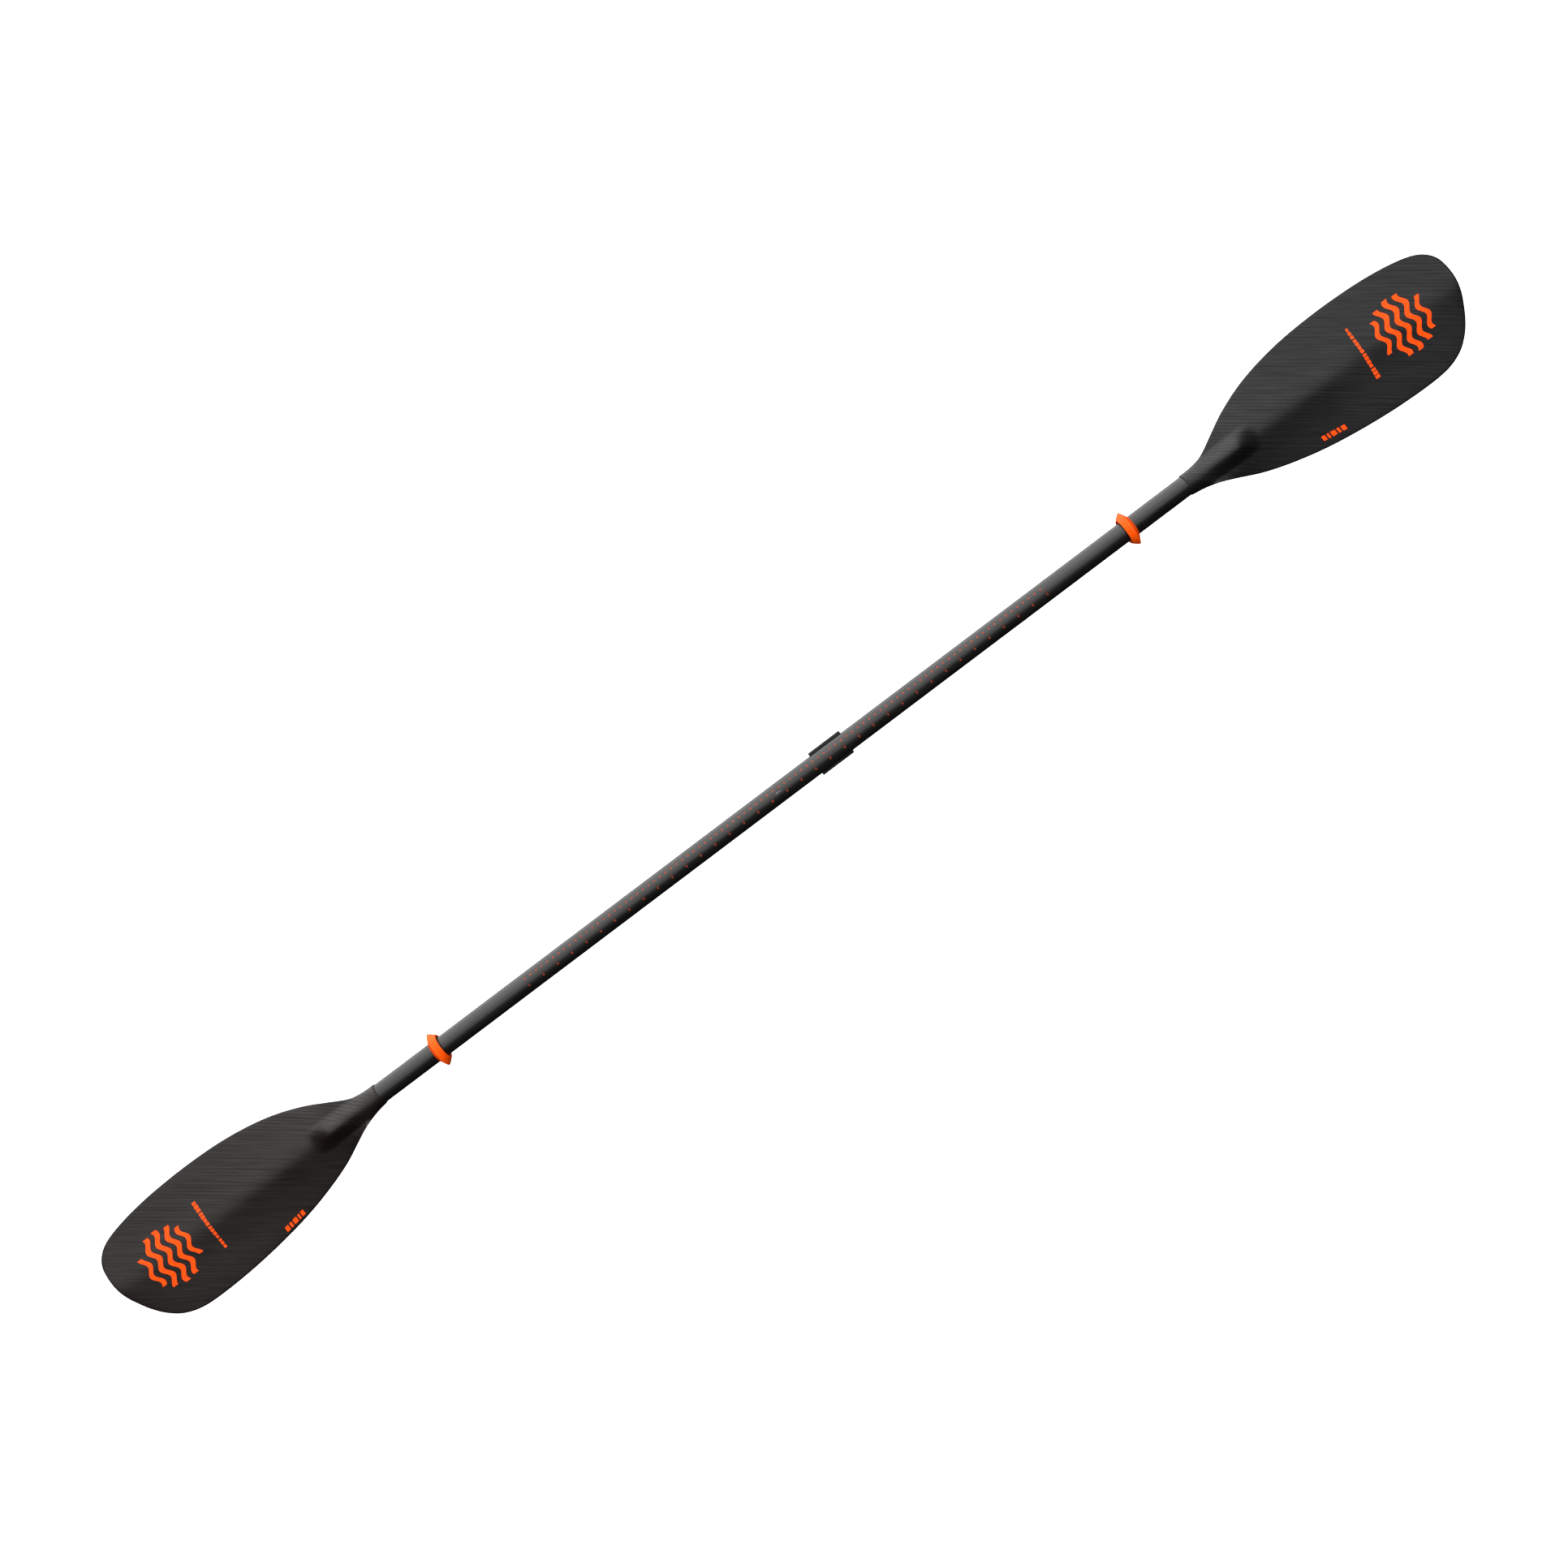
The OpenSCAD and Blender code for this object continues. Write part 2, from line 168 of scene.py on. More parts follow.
def blade_mesh(name, side):
    """One closed blade: loops of points round the blade from the neck to the tip, with the bore for the shaft."""
    columns = 56
    across = [2 * k / columns - 1 for k in range(columns + 1)]
    turn = [90 * t * (0.45 + 0.55 * t * t) for t in across]
    loop = [(a, 1) for a in turn] + [(a, -1) for a in reversed(turn[1:-1])]
    count = len(loop)
    bm = bmesh.new()
    rings = []
    for p in blade_rows():
        d, up, low = outline(p)
        s = LENGTH - d
        ring = []
        for a, over in loop:
            v = math.sin(math.radians(a))
            c = math.cos(math.radians(a)) if abs(a) < 90 else 0.0
            y = (up - low) / 2 + (up + low) / 2 * v
            spine = FACE_SPINE if over > 0 else BACK_SPINE
            h = 0.0 if c == 0 else half_thickness(s, c) + spine_height(s, y, *spine)
            z = mid_height(s, y, v) + over * h
            ring.append(bm.verts.new((side * (SEAM_X + s * MM), y * MM, z * MM)))
        rings.append(ring)
    r = SHAFT_R + BORE_GAP * MM
    inner = []
    for x in (SEAM_X, SHAFT_END - BORE_SHORT * MM):
        ring = []
        for a, over in loop:
            t = math.radians(a)
            ring.append(bm.verts.new((side * x, r * math.sin(t), over * r * math.cos(t))))
        inner.append(ring)
    rings = [inner[1], inner[0]] + rings
    for first, second in zip(rings, rings[1:]):
        for k in range(count):
            n = (k + 1) % count
            bm.faces.new((first[k], first[n], second[n], second[k]))
    bm.faces.new(inner[1])
    bmesh.ops.remove_doubles(bm, verts=rings[-1], dist=1e-7)
    bmesh.ops.recalc_face_normals(bm, faces=bm.faces)
    return finish_mesh(bm, name, sharp=50)


def finish_mesh(bm, name, sharp, materials=()):
    """Turns a bmesh into an object in the scene, smooth except at edges sharper than the angle in degrees."""
    mesh = bpy.data.meshes.new(name)
    for f in bm.faces:
        f.smooth = True
    limit = math.radians(sharp)
    for e in bm.edges:
        if len(e.link_faces) == 2 and e.calc_face_angle(0) > limit:
            e.smooth = False
    bm.to_mesh(mesh)
    bm.free()
    obj = bpy.data.objects.new(name, mesh)
    bpy.context.scene.collection.objects.link(obj)
    for m in materials:
        mesh.materials.append(m)
    return obj


# ---------------------------------------------------------------- material building blocks

BLADE_SHEEN = 0.36
BLADE_ROUGH = (0.40, 0.50)
BLADE_TOW = 1.63
WEAVE_TURN = 7.0
SHAFT_TOWS = 60


class Nodes:
    """A short way to write a material's node tree."""

    def __init__(self, name):
        self.mat = bpy.data.materials.new(name)
        self.mat.use_nodes = True
        self.tree = self.mat.node_tree
        self.shader = self.tree.nodes["Principled BSDF"]

    def add(self, kind, **values):
        node = self.tree.nodes.new(kind)
        for key, value in values.items():
            setattr(node, key, value)
        return node

    def link(self, a, b):
        self.tree.links.new(a, b)

    def put(self, socket, value):
        """Sets a socket to a number or links it to another socket."""
        if isinstance(value, bpy.types.NodeSocket):
            self.link(value, socket)
        elif value is not None:
            socket.default_value = value

    def math(self, op, a, b=None, c=None):
        node = self.add("ShaderNodeMath", operation=op)
        for socket, value in zip(node.inputs, (a, b, c)):
            self.put(socket, value)
        return node.outputs[0]

    def point(self):
        return self.add("ShaderNodeTexCoord").outputs["Object"]

    def mapped(self, vector, scale=(1, 1, 1), turn=(0, 0, 0)):
        node = self.add("ShaderNodeMapping")
        self.link(vector, node.inputs["Vector"])
        node.inputs["Scale"].default_value = scale
        node.inputs["Rotation"].default_value = turn
        return node.outputs[0]

    def noise(self, vector, scale, detail=2.0, rough=0.5):
        node = self.add("ShaderNodeTexNoise")
        self.link(vector, node.inputs["Vector"])
        node.inputs["Scale"].default_value = scale
        node.inputs["Detail"].default_value = detail
        node.inputs["Roughness"].default_value = rough
        return node.outputs["Fac"]

    def span(self, value, low, high, to_low, to_high):
        node = self.add("ShaderNodeMapRange")
        for socket, v in zip(node.inputs, (value, low, high, to_low, to_high)):
            self.put(socket, v)
        return node.outputs[0]

    def spread(self, noise, to_low, to_high):
        """Stretches a noise, most of which lies between 0.3 and 0.7, over a range."""
        return self.span(noise, 0.3, 0.7, to_low, to_high)

    def mix(self, fac, a, b):
        node = self.add("ShaderNodeMix", data_type="RGBA")
        self.put(node.inputs[0], fac)
        self.put(node.inputs[6], a if isinstance(a, bpy.types.NodeSocket) else tuple(a) + (1.0,))
        self.put(node.inputs[7], b if isinstance(b, bpy.types.NodeSocket) else tuple(b) + (1.0,))
        return node.outputs[2]

    def bump(self, height, strength, distance, normal=None):
        node = self.add("ShaderNodeBump")
        self.link(height, node.inputs["Height"])
        node.inputs["Strength"].default_value = strength
        node.inputs["Distance"].default_value = distance
        if normal is not None:
            self.link(normal, node.inputs["Normal"])
        return node.outputs[0]

    def finish(self, colour, rough, normal=None, **sockets):
        self.put(self.shader.inputs["Base Color"], colour)
        self.put(self.shader.inputs["Roughness"], rough)
        if normal is not None:
            self.link(normal, self.shader.inputs["Normal"])
        for key, value in sockets.items():
            self.put(self.shader.inputs[key.replace("_", " ")], value)
        return self.mat


def twill(n, along, across, tow):
    """2x2 twill: 1 where the tow along the first direction is on top, and the height of the tow on top."""
    u = n.math("DIVIDE", along, tow)
    v = n.math("DIVIDE", across, tow)
    step = n.math("ADD", n.math("FLOOR", u), n.math("FLOOR", v))
    over = n.math("LESS_THAN", n.math("FLOORED_MODULO", step, 4.0), 1.5)
    hump_u = n.math("SINE", n.math("MULTIPLY", n.math("FRACT", v), math.pi))
    hump_v = n.math("SINE", n.math("MULTIPLY", n.math("FRACT", u), math.pi))
    height = n.add("ShaderNodeMix", data_type="FLOAT")
    n.put(height.inputs[0], over)
    n.put(height.inputs[2], hump_v)
    n.put(height.inputs[3], hump_u)
    return over, height.outputs[0]


def carbon_blade_material(name, dark, light):
    """Woven carbon under a satin coat: the twill's slanting wales come and go, with clouds and fine scuffs."""
    n = Nodes(name)
    p = n.point()
    weave = n.mapped(p, turn=(0, 0, math.radians(-WEAVE_TURN)))
    xyz = n.add("ShaderNodeSeparateXYZ")
    n.link(weave, xyz.inputs[0])
    over, height = twill(n, xyz.outputs[0], xyz.outputs[1], BLADE_TOW * MM)
    slanted = n.mapped(p, turn=(0, 0, math.radians(45 - WEAVE_TURN)))
    streak = n.noise(n.mapped(slanted, (14, 300, 40)), 1.0, 2.0, 0.55)
    across = n.add("ShaderNodeSeparateXYZ")
    n.link(slanted, across.inputs[0])
    wander = n.math("MULTIPLY", n.noise(n.mapped(slanted, (9, 40, 9)), 1.0, 2.0), 2.6)
    turns = n.math("MULTIPLY_ADD", across.outputs[1], 2 * math.pi / (2.83 * BLADE_TOW * MM), wander)
    mask = n.span(n.noise(n.mapped(slanted, (6, 14, 10)), 1.0, 2.0), 0.42, 0.64, 0.0, 1.0)
    wale = n.math("MULTIPLY", n.math("SINE", turns), mask)
    cloud = n.noise(p, 7.0, 3.0)
    fibre = n.noise(n.mapped(p, (160, 2600, 160)), 1.0, 1.0)
    lift = n.math("MULTIPLY_ADD", wale, 0.12, n.math("MULTIPLY", over, 0.2))
    lift = n.math("ADD", lift, n.spread(streak, 0.0, 0.4))
    lift = n.math("MULTIPLY_ADD", cloud, 0.3, lift)
    lift = n.math("MULTIPLY_ADD", fibre, 0.08, lift)
    colour = n.mix(n.math("MINIMUM", n.math("MAXIMUM", lift, 0.0), 1.0), dark, light)
    sheen = n.math("MULTIPLY_ADD", wale, 0.07, n.spread(streak, BLADE_SHEEN - 0.05, BLADE_SHEEN + 0.05))
    scuff = n.noise(n.mapped(p, (30, 30, 30)), 6.0, 6.0, 0.7)
    worn = n.math("MULTIPLY_ADD", streak, 0.3, scuff)
    rough = n.math("SUBTRACT", n.span(worn, 0.4, 0.95, *BLADE_ROUGH), n.math("MULTIPLY", over, 0.02))
    bump = n.bump(height, 0.10, 0.05 * MM)
    bump = n.bump(streak, 0.12, 0.3 * MM, bump)
    return n.finish(colour, rough, bump, Specular_IOR_Level=sheen)


def carbon_shaft_material(name):
    """Unidirectional and wound carbon with a satin clear coat, faint bands and hand wear."""
    n = Nodes(name)
    p = n.point()
    xyz = n.add("ShaderNodeSeparateXYZ")
    n.link(p, xyz.inputs[0])
    round_it = n.math("ARCTAN2", xyz.outputs[1], xyz.outputs[2])
    arc = n.math("MULTIPLY", round_it, SHAFT_R)
    over, height = twill(n, xyz.outputs[0], arc, SHAFT_R * 2 * math.pi / SHAFT_TOWS)
    streak = n.noise(n.mapped(p, (14, 420, 420)), 1.0, 2.0, 0.5)
    cloud = n.noise(n.mapped(p, (7, 30, 30)), 1.0, 3.0)
    lift = n.math("MULTIPLY_ADD", over, 0.16, n.spread(streak, 0.0, 0.5))
    lift = n.math("MULTIPLY_ADD", cloud, 0.34, lift)
    colour = n.mix(n.math("MINIMUM", lift, 1.0), (0.0022, 0.0019, 0.0017), (0.0105, 0.0096, 0.0090))
    rough = n.span(n.math("ADD", cloud, n.math("MULTIPLY", streak, 0.4)), 0.5, 0.9, 0.34, 0.42)
    bump = n.bump(height, 0.12, 0.04 * MM)
    bump = n.bump(streak, 0.10, 0.15 * MM, bump)
    return n.finish(colour, rough, bump, Specular_IOR_Level=0.5)


def rubber_material(name, low, high, rough=(0.42, 0.6)):
    """Moulded rubber: slight mottling, dusty patches and a fine skin."""
    n = Nodes(name)
    p = n.point()
    cloud = n.noise(p, 60.0, 3.0)
    fine = n.noise(p, 900.0, 2.0)
    colour = n.mix(n.spread(cloud, 0.0, 1.0), low, high)
    r = n.span(n.math("ADD", cloud, n.math("MULTIPLY", fine, 0.3)), 0.4, 0.9, *rough)
    return n.finish(colour, r, n.bump(fine, 0.15, 0.08 * MM), Specular_IOR_Level=0.2)


def moulded_material(name, low, high, rough=(0.42, 0.55), grain=1500.0, gloss=0.45):
    """Moulded plastic with a fine spark texture and rubbed patches."""
    n = Nodes(name)
    p = n.point()
    cloud = n.noise(p, 45.0, 4.0, 0.6)
    fine = n.noise(p, grain, 2.0, 0.6)
    colour = n.mix(n.span(cloud, 0.3, 0.75, 0.0, 1.0), low, high)
    r = n.spread(cloud, *rough)
    return n.finish(colour, r, n.bump(fine, 0.35, 0.06 * MM), Specular_IOR_Level=gloss)


def metal_material(name, low, high, rough):
    """Ground metal with fine drawn lines."""
    n = Nodes(name)
    p = n.point()
    lines = n.noise(n.mapped(p, (4000, 60, 4000)), 1.0, 2.0)
    cloud = n.noise(p, 300.0, 2.0)
    colour = n.mix(lines, low, high)
    r = n.spread(cloud, *rough)
    return n.finish(colour, r, n.bump(lines, 0.2, 0.02 * MM), Metallic=1.0)


def foam_material(name, low, high):
    """Closed-cell foam: small pits and a faint mottling."""
    n = Nodes(name)
    p = n.point()
    cells = n.add("ShaderNodeTexVoronoi")
    n.link(p, cells.inputs["Vector"])
    cells.inputs["Scale"].default_value = 900.0
    cloud = n.noise(p, 40.0, 3.0)
    colour = n.mix(cloud, low, high)
    r = n.spread(cloud, 0.8, 0.95)
    return n.finish(colour, r, n.bump(cells.outputs["Distance"], 0.5, 0.3 * MM))


def ink_material(name, low, high):
    """Printed ink: thin, slightly uneven, worn through in specks."""
    n = Nodes(name)
    p = n.point()
    cloud = n.noise(p, 120.0, 4.0, 0.65)
    fine = n.noise(p, 1400.0, 2.0)
    mottled = n.math("ADD", n.math("MULTIPLY", cloud, 0.75), n.math("MULTIPLY", fine, 0.25))
    colour = n.mix(n.span(mottled, 0.32, 0.62, 0.0, 1.0), low, high)
    r = n.spread(cloud, 0.42, 0.55)
    return n.finish(colour, r, n.bump(fine, 0.1, 0.02 * MM), Specular_IOR_Level=0.15)


def floor_material(name):
    """Near-white ground that mostly lights itself."""
    n = Nodes(name)
    p = n.point()
    cloud = n.noise(p, 2.0, 2.0)
    colour = n.mix(cloud, (0.93, 0.93, 0.93), (0.96, 0.96, 0.96))
    rough = n.spread(cloud, 0.7, 0.8)
    return n.finish(colour, rough, Specular_IOR_Level=0.1, Emission_Color=colour, Emission_Strength=0.9)


MATERIALS = {
    "blade_right": carbon_blade_material("carbon_blade_right", (0.0008, 0.0008, 0.0009), (0.0085, 0.0085, 0.0088)),
    # the left blade's warmer colours are painted light: they stand in for the warmer light on that half, since
    # both blades are the same carbon
    "blade_left": carbon_blade_material("carbon_blade_left", (0.0016, 0.0009, 0.0006), (0.0125, 0.0086, 0.0072)),
    "shaft": carbon_shaft_material("carbon_shaft"),
    "ring": rubber_material("ring_rubber", (0.94, 0.074, 0.001), (0.99, 0.092, 0.001), (0.45, 0.58)),
    "seal": rubber_material("sealant", (0.006, 0.006, 0.006), (0.014, 0.014, 0.014), (0.5, 0.7)),
    "o_ring": rubber_material("black_rubber", (0.008, 0.008, 0.008), (0.02, 0.02, 0.02)),
    "clamp": moulded_material(
        "clamp_plastic", (0.003, 0.003, 0.003), (0.009, 0.009, 0.009), rough=(0.5, 0.62), gloss=0.2,
    ),
    "black": moulded_material("black_plastic", (0.012, 0.012, 0.012), (0.03, 0.03, 0.03)),
    "sleeve": moulded_material("sleeve_plastic", (0.06, 0.06, 0.06), (0.1, 0.1, 0.1)),
    "guide": moulded_material("guide_plastic", (0.55, 0.54, 0.5), (0.72, 0.71, 0.67), (0.3, 0.42), 500.0),
    "ferrule": carbon_blade_material("ferrule_laminate", (0.012, 0.012, 0.013), (0.035, 0.035, 0.037)),
    "pin": metal_material("pin_steel", (0.5, 0.5, 0.51), (0.68, 0.68, 0.69), (0.22, 0.35)),
    "rivet": metal_material("rivet_aluminium", (0.6, 0.6, 0.61), (0.78, 0.78, 0.8), (0.3, 0.42)),
    "foam": foam_material("core_foam", (0.62, 0.55, 0.34), (0.75, 0.68, 0.46)),
    "plug": foam_material("plug_foam", (0.05, 0.05, 0.055), (0.09, 0.09, 0.1)),
    "print": ink_material("scale_ink", (0.17, 0.024, 0.009), (0.25, 0.036, 0.014)),
    "figures": ink_material("scale_figures", (0.05, 0.012, 0.007), (0.10, 0.024, 0.014)),
    "decal": ink_material("decal_ink", (0.88, 0.060, 0.001), (0.96, 0.076, 0.001)),
    # pale purplish-grey patches by the joint, drawn with the ink shader
    "pale_joint": ink_material("pale_joint_patches", (0.085, 0.08, 0.10), (0.16, 0.15, 0.185)),
}

NODE_LOOKS = {
    "right_shaft": "shaft", "left_shaft": "shaft", "right_neck_seal": "seal",
    "left_neck_seal": "seal", "right_shaft_plug": "plug", "left_shaft_plug": "plug",
    "right_blade_core": "foam", "left_blade_core": "foam", "right_blade_face": "blade_right",
    "right_blade_back": "blade_right", "left_blade_face": "blade_left",
    "left_blade_back": "blade_left", "right_drip_ring": "ring", "left_drip_ring": "ring",
    "ferrule_tube": "ferrule", "ferrule_bond_sleeve": "sleeve", "ferrule_end_plug": "black",
    "ferrule_o_ring": "o_ring", "guide_ring": "guide", "clamp_housing": "clamp",
    "clamp_lever": "clamp", "lever_pin": "pin", "pressure_shoe": "guide",
    "housing_rivets": "rivet",
}


def dress_nodes():
    for name, look in NODE_LOOKS.items():
        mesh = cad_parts[name].data
        mesh.materials.clear()
        mesh.materials.append(MATERIALS[look])


# ---------------------------------------------------------------- blades and their marks


def add_blades():
    for side_name, side in SIDES.items():
        blade = blade_mesh(side_name + "_blade_shell", side)
        blade.data.materials.append(MATERIALS["blade_" + side_name])
        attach(blade, side_name + "_half")
        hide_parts(side_name + "_blade_face", side_name + "_blade_back")


def add_patch(bm, place, columns, rows, thickness):
    """Closed thin patch from a grid of places; place(u, v, up) gives a point, with up as its height."""
    layers = []
    for up in (0.0, thickness):
        grid = []
        for i in range(columns + 1):
            line = []
            for j in range(rows + 1):
                line.append(bm.verts.new(place(i / columns, j / rows, up)))
            grid.append(line)
        layers.append(grid)
    low, high = layers
    for i in range(columns):
        for j in range(rows):
            for g in (low, high):
                bm.faces.new((g[i][j], g[i + 1][j], g[i + 1][j + 1], g[i][j + 1]))
    edge = [(i, 0) for i in range(columns)] + [(columns, j) for j in range(rows)]
    edge += [(i, rows) for i in range(columns, 0, -1)] + [(0, j) for j in range(rows, 0, -1)]
    for k, (i, j) in enumerate(edge):
        a, b = edge[(k + 1) % len(edge)]
        bm.faces.new((low[i][j], low[a][b], high[a][b], high[i][j]))


# thickness of a mark and its gap to the surface under it
INK = 0.05
INK_GAP = 0.01

EMBLEM_R = 43.0
WAVE_WIDTHS = (7.0, 8.0, 8.0, 8.0, 7.0)
WAVE_PITCH = 16.6
WAVE_AMPLITUDE = 3.6
WAVE_LENGTH = 30.0

BAR_BLOCKS = 14
BAR_THIN = 3.9
BAR_GROWTH = 2.6

# lengths and gap of the dashes as shares of the row, then their width and slant
DASH_SHARES = (0.17, 0.11, 0.2, 0.09, 0.15)
DASH_GAP = 0.07
DASH_WIDTH = 7.4
DASH_SLANT = 0.22


def on_face(side, from_tip, y, up):
    """Point on the power face, up millimetres above it."""
    z = face_height(from_tip, y) + up
    return (side * (TIP_X - from_tip * MM), y * MM, z * MM)


def wave_stroke(centre, reach, offset, width):
    """One thick wavy line, clipped to a circle: its place as a function of (u, v), and its number of columns."""
    d0, y0 = centre

    def mid(y):
        return d0 + offset + WAVE_AMPLITUDE * math.sin(2 * math.pi * (y - y0) / WAVE_LENGTH)

    def end(sign):
        low, high = 0.0, reach
        for _ in range(30):
            t = (low + high) / 2
            far = math.hypot(mid(y0 + sign * t) - d0, t)
            low, high = (t, high) if far < reach else (low, t)
        return y0 + sign * low

    y_low, y_high = end(-1), end(1)

    def place(u, v):
        y = y_low + (y_high - y_low) * u
        return mid(y) + width * (v - 0.5), y

    return place, max(8, int((y_high - y_low) / 1.2))


def emblem_shapes(centre):
    """A round water sign: five thick waves inside a circle."""
    middle = len(WAVE_WIDTHS) // 2
    return [
        wave_stroke(centre, EMBLEM_R, (k - middle) * WAVE_PITCH, width)
        for k, width in enumerate(WAVE_WIDTHS)
    ]


def bar_shapes(top, bottom, thick_end):
    """A tapering row of plain blocks across the blade, from one (distance, y) place to another."""
    (d0, y0), (d1, y1) = bottom, top
    pitch = (y1 - y0) / BAR_BLOCKS
    shapes = []
    for k in range(BAR_BLOCKS):
        start = y0 + k * pitch
        near = k / (BAR_BLOCKS - 1) if thick_end == "top" else 1 - k / (BAR_BLOCKS - 1)
        height = BAR_THIN + BAR_GROWTH * near - (0.9 if k % 5 == 3 else 0.0)
        share = 0.62 if k % 4 == 2 else 0.8

        def place(u, v, start=start, height=height, share=share):
            y = start + share * pitch * u
            return d0 + (d1 - d0) * (y - y0) / (y1 - y0) + height * (v - 0.5), y

        shapes.append((place, 2))
    return shapes


def edge_bar_shapes(start, stop):
    """Slanted plain dashes of different lengths along the lower edge."""
    (d0, y0), (d1, y1) = start, stop
    length = math.hypot(d1 - d0, y1 - y0)
    along = ((d1 - d0) / length, (y1 - y0) / length)
    shapes = []
    at = 0.0
    for share in DASH_SHARES:
        dash = share * length

        def place(u, v, at=at, dash=dash):
            w = DASH_WIDTH * (v - 0.5)
            t = at + dash * u + DASH_SLANT * w
            return d0 + along[0] * t - along[1] * w, y0 + along[1] * t + along[0] * w

        shapes.append((place, 3))
        at += dash + DASH_GAP * length
    return shapes


# centre of the emblem and ends of the rows, as (distance from tip, y) in millimetres
MARK_PLACES = {
    "right": {"emblem": (94.0, -2.0), "bar": ((159.0, 41.8), (161.3, -41.6), "bottom"),
              "dashes": ((235.0, -69.2), (271.0, -63.9))},
    "left": {"emblem": (88.0, -4.0), "bar": ((158.8, 39.0), (156.0, -42.0), "top"),
             "dashes": ((236.0, -75.2), (272.0, -69.6))},
}


def add_blade_marks():
    for side_name, side in SIDES.items():
        bm = bmesh.new()
        places = MARK_PLACES[side_name]
        shapes = emblem_shapes(places["emblem"])
        shapes += bar_shapes(*places["bar"]) + edge_bar_shapes(*places["dashes"])
        for shape, columns in shapes:

            def place(u, v, up, shape=shape):
                d, y = shape(u, v)
                return on_face(side, d, y, up + INK_GAP)

            add_patch(bm, place, columns, 4, INK)
        bmesh.ops.recalc_face_normals(bm, faces=bm.faces)
        marks = finish_mesh(bm, side_name + "_blade_marks", 30, [MATERIALS["decal"]])
        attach(marks, side_name + "_half")


# ---------------------------------------------------------------- printed scale on the shaft

# millimetres along the shaft, and degrees round it
SCALE_ZERO = -447.6
INCH = 25.4
INCHES = 36
CM_ANGLE = -30.5
INCH_ANGLE = 14.0
JOINT_GAP = 1.2
FIGURE_SIZE = 2.6
FIGURE_STROKE = 0.42
FIGURE_RISE = 5.0
# pale purplish-grey patches by the joint: span along the shaft for each half, then the angles round it
PALE_JOINT_PLACES = {"left": (-6.2, -0.4), "right": (0.4, 2.6)}
PALE_JOINT_ANGLES = (-11.5, -5.5)
SEGMENTS = {
    "0": "abcdef", "1": "bc", "2": "abged", "3": "abgcd", "4": "fgbc",
    "5": "afgcd", "6": "afgedc", "7": "abc", "8": "abcdefg", "9": "abcdfg",
}


def on_tube(x, angle, radius, up):
    """Point on a tube round X; angle 0 faces up, positive turns towards the lower side."""
    r = radius + up
    return (x * MM, -r * math.sin(angle) * MM, r * math.cos(angle) * MM)


def add_tube_patch(bm, radius, x0, x1, a0, a1, thickness=INK):
    """Thin patch on a tube, with x in millimetres and angles in degrees."""

    def place(u, v, up):
        angle = math.radians(a0 + (a1 - a0) * v)
        return on_tube(x0 + (x1 - x0) * u, angle, radius, up + INK_GAP)

    add_patch(bm, place, 1, max(2, int(abs(a1 - a0) / 5)), thickness)


def add_tick(bm, radius, x, angle, half_width, half_height, thickness=INK):
    """One tick of a scale, centred at x in millimetres and an angle in degrees."""
    reach = half_height * math.degrees(1.0 / radius)
    add_tube_patch(bm, radius, x - half_width, x + half_width, angle - reach, angle + reach, thickness)


def segment_boxes(size, stroke):
    """Boxes of a seven-stroke digit in its own width and height: (x0, x1, y0, y1), y upwards."""
    w, h, s = size * 0.55, size, stroke
    return {
        "a": (0, w, h - s, h), "d": (0, w, 0, s), "g": (0, w, (h - s) / 2, (h + s) / 2),
        "f": (0, s, h / 2, h), "b": (w - s, w, h / 2, h),
        "e": (0, s, 0, h / 2), "c": (w - s, w, 0, h / 2),
    }


def add_number(bm, radius, value, x, angle, size):
    """A printed number centred at x; its top points to the upper side of the shaft."""
    degrees = math.degrees(1.0 / radius)
    boxes = segment_boxes(size, FIGURE_STROKE)
    text = str(value)
    pitch = size * 0.75
    left = x - (pitch * (len(text) - 1) + size * 0.55) / 2
    for k, digit in enumerate(text):
        for name in SEGMENTS[digit]:
            bx0, bx1, by0, by1 = boxes[name]
            a0 = angle - (by0 - size / 2) * degrees
            a1 = angle - (by1 - size / 2) * degrees
            add_tube_patch(bm, radius, left + k * pitch + bx0, left + k * pitch + bx1, a0, a1)


def add_scale():
    """Centimetre ticks, inch ticks and inch numbers, split at the joint so each half carries its own."""
    radius = SHAFT_R / MM
    rise = FIGURE_RISE * math.degrees(1.0 / radius)
    for side_name in SIDES:
        bm, figures = bmesh.new(), bmesh.new()
        on_right = side_name == "right"

        def here(x):
            return x > JOINT_GAP if on_right else x < -JOINT_GAP

        for k in range(int(INCHES * INCH / 10) + 1):
            x = SCALE_ZERO + 10 * k
            tall = 3.6 if k % 5 == 0 else 2.9
            if here(x):
                add_tick(bm, radius, x, CM_ANGLE, 1.2, tall / 2)
        for k in range(INCHES + 1):
            x = SCALE_ZERO + INCH * k
            if here(x):
                add_tick(bm, radius, x, INCH_ANGLE, 1.15, 1.7)
                if k:
                    add_number(figures, radius, k, x, INCH_ANGLE - rise, FIGURE_SIZE)
        for part, name, look in ((bm, "_shaft_scale", "print"), (figures, "_scale_figures", "figures")):
            bmesh.ops.recalc_face_normals(part, faces=part.faces)
            piece = finish_mesh(part, side_name + name, 30, [MATERIALS[look]])
            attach(piece, side_name + "_half")


def add_index_marks():
    """Pale purplish-grey patches on both sides of the joint, between the two rows of the scale."""
    radius = SHAFT_R / MM
    for side_name, (x0, x1) in PALE_JOINT_PLACES.items():
        bm = bmesh.new()
        add_tube_patch(bm, radius, x0, x1, *PALE_JOINT_ANGLES)
        bmesh.ops.recalc_face_normals(bm, faces=bm.faces)
        mark = finish_mesh(bm, side_name + "_pale_joint_patch", 30, [MATERIALS["pale_joint"]])
        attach(mark, side_name + "_half")


